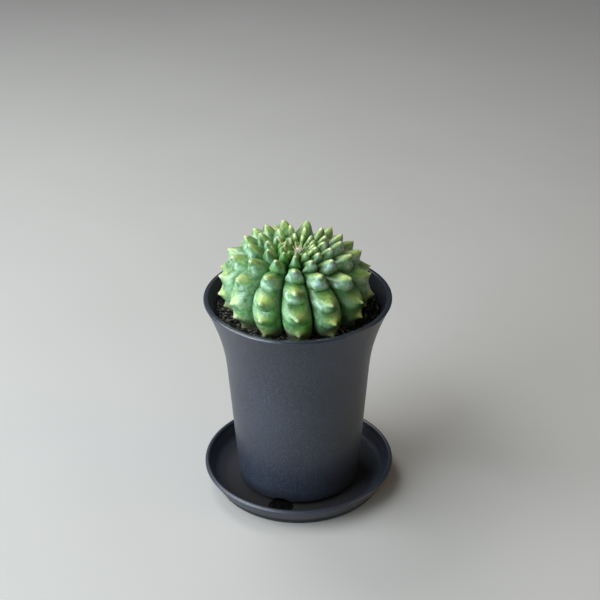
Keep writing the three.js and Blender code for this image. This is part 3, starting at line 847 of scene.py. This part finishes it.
def cactus_skin():
    """Green skin, waxy streaks, lime shelves, painted sheen on the left flanks and painted shade in the
    furrows.
    """
    material, tree, principled = shader(
        "cactus_skin", Specular_IOR_Level=0.5, Coat_Weight=0.5, Coat_Roughness=0.3, Subsurface_Weight=0.1,
        Subsurface_Radius=(0.5, 1.0, 0.35), Subsurface_Scale=0.0012)
    place = object_place(tree)
    crest, crease, shelf, brow = (mask(tree, name) for name in ("crest", "crease", "shelf", "brow"))
    chin, frost_and_sheen, flank_wax_and_sheen, tip = (mask(tree, name) for name in ("chin", "frost_and_sheen", "flank_wax_and_sheen", "tip"))
    latitude, turn_x, turn_y = (mask(tree, name) for name in ("latitude", "turn_x", "turn_y"))
    streak_place = add_node(tree, "ShaderNodeCombineXYZ", X=product(tree, turn_x, 30.0),
                            Y=product(tree, turn_y, 30.0), Z=product(tree, latitude, 0.2)).outputs[0]
    streak = grain(tree, streak_place, 1.0, 5.0, 0.55)
    blotch = grain(tree, place, 190.0, 5.0, 0.62)
    fleck = grain(tree, place, 1100.0, 3.0, 0.6)
    patch = grain(tree, place, 330.0, 5.0, 0.68)

    # The ground tone: blotched green, painted light on the left ribs, painted shade on the right ones,
    # fresher round the crown.
    colour = blend(tree, ramp(tree, blotch, 0.36, 0.66), SKIN_DEEP, SKIN_MID)
    painted_left_light = product(tree, ramp(tree, turn_x, -0.2, -0.85), ramp(tree, patch, 0.36, 0.58, 0.02, 0.4),
                       ramp(tree, latitude, 32, 62, 0.2, 1.0))
    colour = blend(tree, painted_left_light, colour, SKIN_WAX_AND_SHEEN)
    colour = blend(tree, ramp(tree, turn_x, 0.15, 0.8, 0.0, 0.58), colour, SKIN_DEEP)
    colour = blend(tree, ramp(tree, latitude, 36, 12, 0.0, 0.6), colour, SKIN_FRESH)

    # Lime on the shelves and brows, waxy flanks with painted sheen, mottling, and frosty young faces with
    # painted sheen.
    lime = product(tree, shelf, ramp(tree, grain(tree, place, 62.0, 2.0), 0.38, 0.6, 0.5, 1.0),
                   ramp(tree, patch, 0.3, 0.6, 0.6, 0.95))
    colour = blend(tree, lime, colour, SKIN_LIME)
    colour = blend(tree, product(tree, brow, 0.5), colour, SKIN_LIME)
    # Painted sheen: the waxy flanks are paler on each rib's left side, and painted shade thins them on the
    # right ribs.
    wax_with_sheen = product(tree, flank_wax_and_sheen, ramp(tree, patch, 0.3, 0.62, 0.2, 1.0), ramp(tree, shelf, 0.0, 1.0, 1.0, 0.4),
                  ramp(tree, streak, 0.3, 0.6, 0.45, 0.9),
                  ramp(tree, ramp(tree, turn_x, 0.35, 0.9), 0.0, 1.0, 1.0, 0.4),
                  ramp(tree, latitude, 14, 30, 0.3, 1.0))
    colour = blend(tree, wax_with_sheen, colour, SKIN_WAX_AND_SHEEN)
    mottle = ramp(tree, grain(tree, place, 620.0, 4.0, 0.7), 0.5, 0.34, 0.0, 0.55)
    colour = blend(tree, mottle, colour, SKIN_DEEP)
    colour = blend(tree, ramp(tree, streak, 0.48, 0.75, 0.0, 0.18), colour, SKIN_WAX_AND_SHEEN)
    # Painted sheen: bluish-white patches of reflected light on the young tubercles' faces, over their
    # glaucous skin.
    frost_and_sheen = product(tree, frost_and_sheen, ramp(tree, patch, 0.42, 0.58, 0.05, 0.75),
                    ramp(tree, grain(tree, place, 95.0, 2.0), 0.4, 0.56),
                    ramp(tree, latitude, 14, 26, 0.1, 1.0))
    colour = blend(tree, frost_and_sheen, colour, SKIN_FROST_AND_SHEEN)

    # Painted shade under the chins, in the furrows and in the creases, pale tips, and cork near the soil.
    chin = product(tree, chin, ramp(tree, patch, 0.3, 0.6, 0.95, 0.45))
    colour = blend(tree, chin, colour, SKIN_SHADE)
    colour = blend(tree, ramp(tree, crest, 0.4, 0.04, 0.0, 0.92), colour, SKIN_SHADE)
    colour = blend(tree, product(tree, crease, 0.7), colour, SKIN_SHADE)
    colour = blend(tree, ramp(tree, tip, 0.4, 0.9, 0.0, 0.75), colour, SKIN_TIP)
    corky = product(tree, ramp(tree, latitude, 86, 107), ramp(tree, patch, 0.34, 0.58, 0.25, 0.9))
    colour = blend(tree, corky, colour, SKIN_CORK)
    colour = blend(tree, ramp(tree, fleck, 0.62, 0.78, 0.0, 0.22), colour, SKIN_WAX_AND_SHEEN)

    tree.links.new(colour, principled.inputs["Base Color"])
    tree.links.new(ramp(tree, fleck, 0.3, 0.7, 0.32, 0.44), principled.inputs["Roughness"])
    fine = bump(tree, grain(tree, place, 2600.0, 2.0), 0.00005, 0.5)
    tree.links.new(bump(tree, streak, 0.00022, 0.6, fine), principled.inputs["Normal"])
    return material


def charcoal_plastic(name, top, roughness, shadow_place=None):
    """Moulded charcoal plastic: a fine leathery grain, a trace of dust and a smooth, polished top edge.

    A saucer that is given a shadow place has a dull floor with painted shade over it, and a painted shadow
    that is nearly black round that place.
    """
    material, tree, principled = shader(
        name, Specular_IOR_Level=0.6, Coat_Weight=0.2, Coat_Roughness=roughness - 0.14)
    place = object_place(tree)
    height = add_node(tree, "ShaderNodeSeparateXYZ", Vector=place).outputs["Z"]
    edge = ramp(tree, height, (top - 1.1) * MM, (top - 0.4) * MM)
    pores = grain(tree, place, 1250.0, 3.0, 0.62)
    cloud = grain(tree, place, 38.0, 4.0, 0.6)
    dust = ramp(tree, grain(tree, place, 900.0, 2.0), 0.68, 0.8, 0.0, 0.3)
    colour = blend(tree, ramp(tree, cloud, 0.3, 0.7), times(CHARCOAL, 0.7), times(CHARCOAL, 0.95))
    colour = blend(tree, ramp(tree, pores, 0.48, 0.64, 0.0, 0.58), colour, times(CHARCOAL, 2.3))
    colour = blend(tree, dust, colour, DUST)
    rough = ramp(tree, edge, 0.0, 1.0, roughness, roughness - 0.16)
    if shadow_place:
        away = add_node(tree, "ShaderNodeVectorMath", {"operation": "DISTANCE"})
        tree.links.new(place, away.inputs[0])
        away.inputs[1].default_value = times(shadow_place, MM)
        reach = combine(tree, "ADD", away.outputs["Value"], ramp(tree, pores, 0.3, 0.7, -0.0005, 0.0005))
        floor = ramp(tree, height, (SAUCER_FLOOR_Z + 3.0) * MM, (SAUCER_FLOOR_Z + 1.0) * MM)
        flat = ramp(tree, height, (SAUCER_FLOOR_Z + 1.0) * MM, (SAUCER_FLOOR_Z + 0.2) * MM, 0.0, 0.7)
        painted_shadow = product(tree, ramp(tree, reach, SHADOW_START * MM, SHADOW_FULL * MM), floor, 0.92)
        # Painted shade over the flat floor, and a painted shadow in front of the pot that is nearly black
        # round the shadow place.
        colour = blend(tree, flat, colour, FLOOR_SHADE)
        colour = blend(tree, painted_shadow, colour, SOIL_DARK)
        rough = combine(tree, "ADD", rough, product(tree, floor, 0.4))
        tree.links.new(ramp(tree, floor, 0.0, 1.0, 0.2, 0.0), principled.inputs["Coat Weight"])
    tree.links.new(colour, principled.inputs["Base Color"])
    tree.links.new(rough, principled.inputs["Roughness"])
    relief = product(tree, pores, ramp(tree, edge, 0.0, 1.0, 1.0, 0.15))
    tree.links.new(bump(tree, relief, 0.00026, 0.9), principled.inputs["Normal"])
    return material


def soil_grain(name, use_shade=False, paleness=0.6, specular=0.3):
    """Charred husk and grit, nearly black, with a few browner bits where the mesh carries a shade."""
    material, tree, principled = shader(name, Roughness=0.75, Specular_IOR_Level=specular)
    place = object_place(tree)
    mottle = grain(tree, place, 800.0, 4.0, 0.65)
    colour = blend(tree, ramp(tree, mottle, 0.45, 0.8, 0.0, paleness), SOIL_DARK, SOIL_GREY)
    if use_shade:
        shade = mask(tree, "shade")
        colour = blend(tree, ramp(tree, shade, 0.6, 0.8, 0.0, 0.9), colour, SOIL_GREY)
        colour = blend(tree, ramp(tree, shade, 0.8, 0.9, 0.0, 0.9), colour, SOIL_BROWN)
    tree.links.new(colour, principled.inputs["Base Color"])
    relief = grain(tree, place, 1500.0, 4.0, 0.7)
    tree.links.new(bump(tree, relief, 0.0003, 0.8), principled.inputs["Normal"])
    return material


def fibre(name, pale, deep, scale):
    """Dry plant fibre, mottled between two tones."""
    material, tree, principled = shader(name, Roughness=0.6, Specular_IOR_Level=0.4, Sheen_Weight=0.2)
    mottle = grain(tree, object_place(tree), scale, 3.0)
    tree.links.new(blend(tree, ramp(tree, mottle, 0.3, 0.7), pale, deep), principled.inputs["Base Color"])
    tree.links.new(bump(tree, mottle, 0.00005, 0.6), principled.inputs["Normal"])
    return material


def floor_paper():
    """Plain pale paper."""
    material, tree, principled = shader("floor_paper", Roughness=0.9)
    cloud = grain(tree, object_place(tree), 9.0, 4.0)
    tree.links.new(blend(tree, cloud, PAPER_LOW, PAPER_HIGH), principled.inputs["Base Color"])
    return material


# ---- camera, light and floor -----------------------------------------------------------
def add_camera():
    """The camera of the photograph's view, aimed at the part's axis."""
    data = bpy.data.cameras.new("camera")
    data.sensor_width = SENSOR_WIDTH
    data.lens = SENSOR_WIDTH * FOCAL_PX / FRAME_PX
    data.shift_x = OFFSET_PX / FRAME_PX
    camera = bpy.data.objects.new("camera", data)
    elevation = math.radians(CAMERA_ELEVATION)
    back, up = CAMERA_DISTANCE * math.cos(elevation), CAMERA_DISTANCE * math.sin(elevation)
    place = Matrix.Translation((0, -back, CAMERA_AIM_Z + up))
    roll = Matrix.Rotation(math.radians(-CAMERA_ROLL), 4, "Z")
    camera.matrix_world = place @ Matrix.Rotation(math.pi / 2 - elevation, 4, "X") @ roll
    bpy.context.scene.collection.objects.link(camera)
    bpy.context.scene.camera = camera


def add_light(name, place, aim, size, power, colour):
    """A soft rectangle of light aimed at a place."""
    data = bpy.data.lights.new(name, "AREA")
    data.shape = "RECTANGLE"
    data.size, data.size_y = size
    data.energy = power
    data.color = colour
    lamp = bpy.data.objects.new(name, data)
    lamp.location = place
    lamp.rotation_euler = (Vector(aim) - Vector(place)).to_track_quat("-Z", "Y").to_euler()
    bpy.context.scene.collection.objects.link(lamp)


def add_world():
    """Faint even light from all round."""
    world = bpy.data.worlds.new("studio")
    world.use_nodes = True
    background = world.node_tree.nodes["Background"]
    background.inputs["Color"].default_value = (*WORLD_COLOUR, 1)
    background.inputs["Strength"].default_value = WORLD_STRENGTH
    bpy.context.scene.world = world


def add_floor():
    """The plain floor that the saucer stands on."""
    corners = [(x * FLOOR_SIZE, y * FLOOR_SIZE, 0) for x, y in ((-1, -1), (1, -1), (1, 1), (-1, 1))]
    floor = new_mesh("floor", corners, [(0, 1, 2, 3)])
    floor.data.materials.append(floor_paper())


add_camera()
add_world()
add_floor()
for light in LIGHTS:
    add_light(*light)

draw = np.random.default_rng(SEED)
cactus = build_cactus()
dress(build_saucer(), "saucer",
      charcoal_plastic("saucer_plastic", SAUCER_HEIGHT, 0.54, FINES_PLACE))
dress(build_pot(), "pot", charcoal_plastic("pot_plastic", POT_TOP_Z, 0.42))
dress(build_soil_bed(), "soil", soil_grain("soil_bed"))
dress(build_chips(draw, cactus), None, soil_grain("soil_chips", use_shade=True))
dress(cactus, "cactus", cactus_skin())
dress(build_areoles(draw), None, fibre("areole_felt", FELT_PALE, FELT_DEEP, 1500.0))
dress(build_wool(draw), "crown_tuft", fibre("crown_wool", WOOL_PALE, WOOL_DEEP, 900.0))
dress(build_spines(draw), None, fibre("spine_straw", STRAW_PALE, STRAW_DEEP, 400.0))
dress(build_fines(draw), None, soil_grain("black_grains", paleness=0.1, specular=0.02))

view = bpy.context.scene.view_settings
view.view_transform = "Standard"
